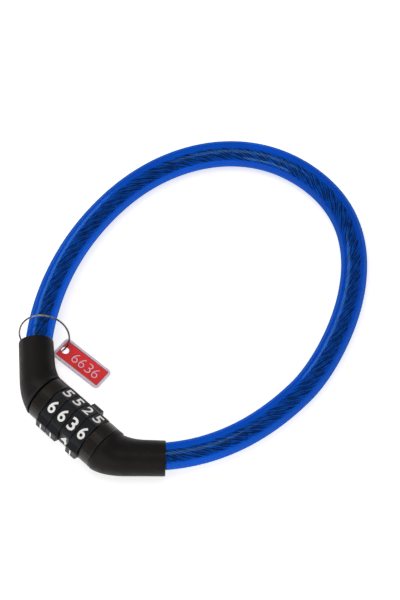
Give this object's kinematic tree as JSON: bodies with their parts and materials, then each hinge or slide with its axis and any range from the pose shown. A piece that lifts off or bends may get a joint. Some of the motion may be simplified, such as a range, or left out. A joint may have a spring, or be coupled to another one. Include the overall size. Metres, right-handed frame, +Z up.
{
  "type": "combination cable lock",
  "caption": "Bicycle combination cable lock: clear blue sheathed wire rope looped between angled boots and a numbered-dial barrel with a pull-out plug, wire ring and number tag.",
  "frame": {"origin": "middle of the lock's outline on the table it lies on", "axes": "+Z up from the table; +X along the barrel from the plug to the fixed boot; +Y from the barrel to the far side of the loop"},
  "size_m": [0.1162, 0.1522, 0.0178],
  "materials": {
    "boot_plastic": "moulded matte",
    "collar_plastic": "gloss",
    "dial_plastic": "satin",
    "sheath_vinyl": "clear gloss",
    "rope_steel": "twisted strands",
    "steel": "bright",
    "brass": "turned",
    "tag_clear": "clear gloss",
    "tag_red": "printed card"
  },
  "bodies": {
    "barrel": {"core_tube": "steel", "tube_nut": "steel", "fixed_collar": "collar_plastic", "mouth_collar": "collar_plastic", "retaining_clip": "steel", "dial_spring": "steel", "fixed_boot": "boot_plastic", "fixed_ferrule": "steel", "fixed_ferrule_pin": "steel", "sheath_fixed": "sheath_vinyl", "wire_rope_fixed": "rope_steel"},
    "dial_1": {"dial_1": "dial_plastic", "code_ring_1": "brass"},
    "dial_2": {"dial_2": "dial_plastic", "code_ring_2": "brass"},
    "dial_3": {"dial_3": "dial_plastic", "code_ring_3": "brass"},
    "dial_4": {"dial_4": "dial_plastic", "code_ring_4": "brass"},
    "right_cable": {"sheath_right": "sheath_vinyl", "wire_rope_right": "rope_steel"},
    "left_cable": {"sheath_left": "sheath_vinyl", "wire_rope_left": "rope_steel"},
    "plug": {"sheath_plug": "sheath_vinyl", "wire_rope_plug": "rope_steel", "plug_boot": "boot_plastic", "plug_ferrule": "steel", "plug_ferrule_pin": "steel", "plug_cap": "steel", "lock_pin": "steel"},
    "tag_ring": {"tag_ring": "steel"},
    "tag": {"tag_frame": "tag_clear", "tag_insert": "tag_red"}
  },
  "joints": [
    {"name": "dial_1_turn", "type": "hinge", "parent": "barrel", "child": "dial_1", "pos_m": [-0.006, -0.0659, 0.00915], "axis": [1, 0, 0], "continuous": true},
    {"name": "dial_2_turn", "type": "hinge", "parent": "barrel", "child": "dial_2", "pos_m": [-0.001, -0.0659, 0.00915], "axis": [1, 0, 0], "continuous": true},
    {"name": "dial_3_turn", "type": "hinge", "parent": "barrel", "child": "dial_3", "pos_m": [0.004, -0.0659, 0.00915], "axis": [1, 0, 0], "continuous": true},
    {"name": "dial_4_turn", "type": "hinge", "parent": "barrel", "child": "dial_4", "pos_m": [0.009, -0.0659, 0.00915], "axis": [1, 0, 0], "continuous": true},
    {"name": "cable_right_bend", "type": "hinge", "parent": "barrel", "child": "right_cable", "pos_m": [0.05303, -0.00593, 0.00733], "axis": [0, 0.0303, 0.9995], "range_deg": [0, 17]},
    {"name": "cable_far_bend", "type": "hinge", "parent": "right_cable", "child": "left_cable", "pos_m": [0.00074, 0.07093, 0.005], "axis": [0, 0.0303, 0.9995], "range_deg": [-34, 0]},
    {"name": "cable_left_bend", "type": "hinge", "parent": "left_cable", "child": "plug", "pos_m": [-0.05156, -0.00593, 0.00733], "axis": [0, 0.0303, 0.9995], "range_deg": [0, 17]},
    {"name": "tag_ring_swing", "type": "hinge", "parent": "plug", "child": "tag_ring", "pos_m": [-0.03284, -0.04975, 0.00866], "axis": [-0.6029, 0.7975, -0.0242], "range_deg": [-100, 40]},
    {"name": "tag_swing", "type": "hinge", "parent": "tag_ring", "child": "tag", "pos_m": [-0.02343, -0.04621, 0.00363], "axis": [-0.2744, -0.6482, -0.7103], "range_deg": [-90, 40]}
  ],
  "couplings": [
    {"joint": "cable_far_bend", "follows": "cable_right_bend", "ratio": -2},
    {"joint": "cable_left_bend", "follows": "cable_right_bend", "ratio": 1}
  ]
}
